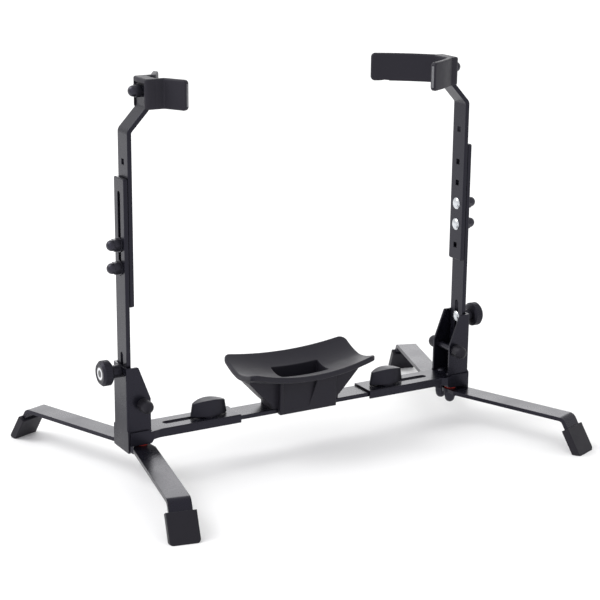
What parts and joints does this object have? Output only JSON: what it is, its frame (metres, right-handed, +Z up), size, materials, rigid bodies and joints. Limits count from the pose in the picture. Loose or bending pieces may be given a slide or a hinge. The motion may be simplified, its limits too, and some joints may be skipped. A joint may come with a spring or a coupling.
{
  "type": "saxophone stand",
  "caption": "Folding floor stand for a large saxophone: telescoping rail, swinging legs, rubber bow cradle and height-adjustable posts with padded forks.",
  "frame": {"origin": "on the floor under the middle of the rail", "axes": "+X along the rail towards the end with the long fork, +Z up, -Y towards the front"},
  "size_m": [0.5743, 0.389, 0.438],
  "materials": {
    "powder_coat": "black semi-gloss powder coat on steel",
    "moulded_rubber": "dark grey moulded rubber, satin",
    "fork_rubber": "dark soft moulded rubber",
    "bumper_rubber": "matte black rubber",
    "moulded_plastic": "fine textured black plastic",
    "red_plastic": "red nylon washer",
    "pale_disc": "pale printed face disc, left plain",
    "zinc": "bright zinc plate",
    "black_hardware": "black oxide and black plastic-capped nuts",
    "bare_steel": "mill finish steel, hidden inside the pad"
  },
  "bodies": {
    "core": {"inner_rail": "powder_coat", "bow_cradle": "moulded_rubber", "cradle_screws": "zinc", "cradle_nuts": "zinc", "rail_bolts": "zinc", "rail_washers": "black_hardware"},
    "wing_left": {"wing_knob_left": "moulded_plastic"},
    "end_left": {"outer_rail_left": "powder_coat", "end_bracket_left": "powder_coat", "cross_pin_left": "zinc", "pin_sleeve_left": "powder_coat", "pin_bumpers_left": "bumper_rubber", "leg_bolts_left": "black_hardware", "leg_washers_left": "red_plastic", "leg_nuts_left": "black_hardware", "clamp_bolt_left": "zinc"},
    "clamp_left": {"clamp_knob_left": "moulded_plastic", "knob_disc_left": "pale_disc"},
    "post_left": {"lower_post_left": "powder_coat"},
    "fork_left": {"upper_post_left": "powder_coat", "post_bolts_left": "zinc", "post_washers_left": "black_hardware", "post_nuts_left": "black_hardware", "fork_core_left": "bare_steel", "fork_pad_left": "fork_rubber", "fork_bolt_left": "zinc", "fork_cap_nut_left": "black_hardware"},
    "wing_right": {"wing_knob_right": "moulded_plastic"},
    "end_right": {"outer_rail_right": "powder_coat", "end_bracket_right": "powder_coat", "cross_pin_right": "zinc", "pin_sleeve_right": "powder_coat", "pin_bumpers_right": "bumper_rubber", "leg_bolts_right": "black_hardware", "leg_washers_right": "red_plastic", "leg_nuts_right": "black_hardware", "clamp_bolt_right": "zinc"},
    "clamp_right": {"clamp_knob_right": "moulded_plastic", "knob_disc_right": "pale_disc"},
    "post_right": {"lower_post_right": "powder_coat"},
    "fork_right": {"upper_post_right": "powder_coat", "post_bolts_right": "zinc", "post_washers_right": "black_hardware", "post_nuts_right": "black_hardware", "fork_core_right": "bare_steel", "fork_pad_right": "fork_rubber", "fork_bolt_right": "zinc", "fork_cap_nut_right": "black_hardware"},
    "leg_body_left_front": {"leg_left_front": "powder_coat", "foot_cap_left_front": "bumper_rubber"},
    "leg_body_left_rear": {"leg_left_rear": "powder_coat", "foot_cap_left_rear": "bumper_rubber"},
    "leg_body_right_front": {"leg_right_front": "powder_coat", "foot_cap_right_front": "bumper_rubber"},
    "leg_body_right_rear": {"leg_right_rear": "powder_coat", "foot_cap_right_rear": "bumper_rubber"}
  },
  "joints": [
    {"name": "rail_slide_left", "type": "slide", "parent": "core", "child": "end_left", "axis": [-1, 0, 0], "range_m": [-0.04, 0.016]},
    {"name": "wing_turn_left", "type": "hinge", "parent": "core", "child": "wing_left", "pos_m": [-0.1175, 0, 0.06], "axis": [0, 0, 1], "continuous": true},
    {"name": "post_slide_left", "type": "slide", "parent": "end_left", "child": "post_left", "axis": [0, 0, 1], "range_m": [-0.014, 0.036]},
    {"name": "fork_slide_left", "type": "slide", "parent": "post_left", "child": "fork_left", "axis": [0, 0, 1], "range_m": [-0.005, 0.054]},
    {"name": "clamp_turn_left", "type": "hinge", "parent": "end_left", "child": "clamp_left", "pos_m": [-0.23, 0, 0.1235], "axis": [-1, 0, 0], "continuous": true},
    {"name": "rail_slide_right", "type": "slide", "parent": "core", "child": "end_right", "axis": [1, 0, 0], "range_m": [-0.04, 0.016]},
    {"name": "wing_turn_right", "type": "hinge", "parent": "core", "child": "wing_right", "pos_m": [0.1175, 0, 0.06], "axis": [0, 0, 1], "continuous": true},
    {"name": "post_slide_right", "type": "slide", "parent": "end_right", "child": "post_right", "axis": [0, 0, 1], "range_m": [-0.014, 0.036]},
    {"name": "fork_slide_right", "type": "slide", "parent": "post_right", "child": "fork_right", "axis": [0, 0, 1], "range_m": [-0.005, 0.054]},
    {"name": "clamp_turn_right", "type": "hinge", "parent": "end_right", "child": "clamp_right", "pos_m": [0.23, 0, 0.1235], "axis": [1, 0, 0], "continuous": true},
    {"name": "leg_swing_left_front", "type": "hinge", "parent": "end_left", "child": "leg_body_left_front", "pos_m": [-0.204, -0.0096, 0.037], "axis": [0, 0, 1], "range_deg": [-10.5, 86.5]},
    {"name": "leg_swing_left_rear", "type": "hinge", "parent": "end_left", "child": "leg_body_left_rear", "pos_m": [-0.204, 0.0096, 0.037], "axis": [0, 0, -1], "range_deg": [-1, 96]},
    {"name": "leg_swing_right_front", "type": "hinge", "parent": "end_right", "child": "leg_body_right_front", "pos_m": [0.204, -0.0096, 0.037], "axis": [0, 0, -1], "range_deg": [0, 97]},
    {"name": "leg_swing_right_rear", "type": "hinge", "parent": "end_right", "child": "leg_body_right_rear", "pos_m": [0.204, 0.0096, 0.037], "axis": [0, 0, 1], "range_deg": [-4, 93]}
  ]
}
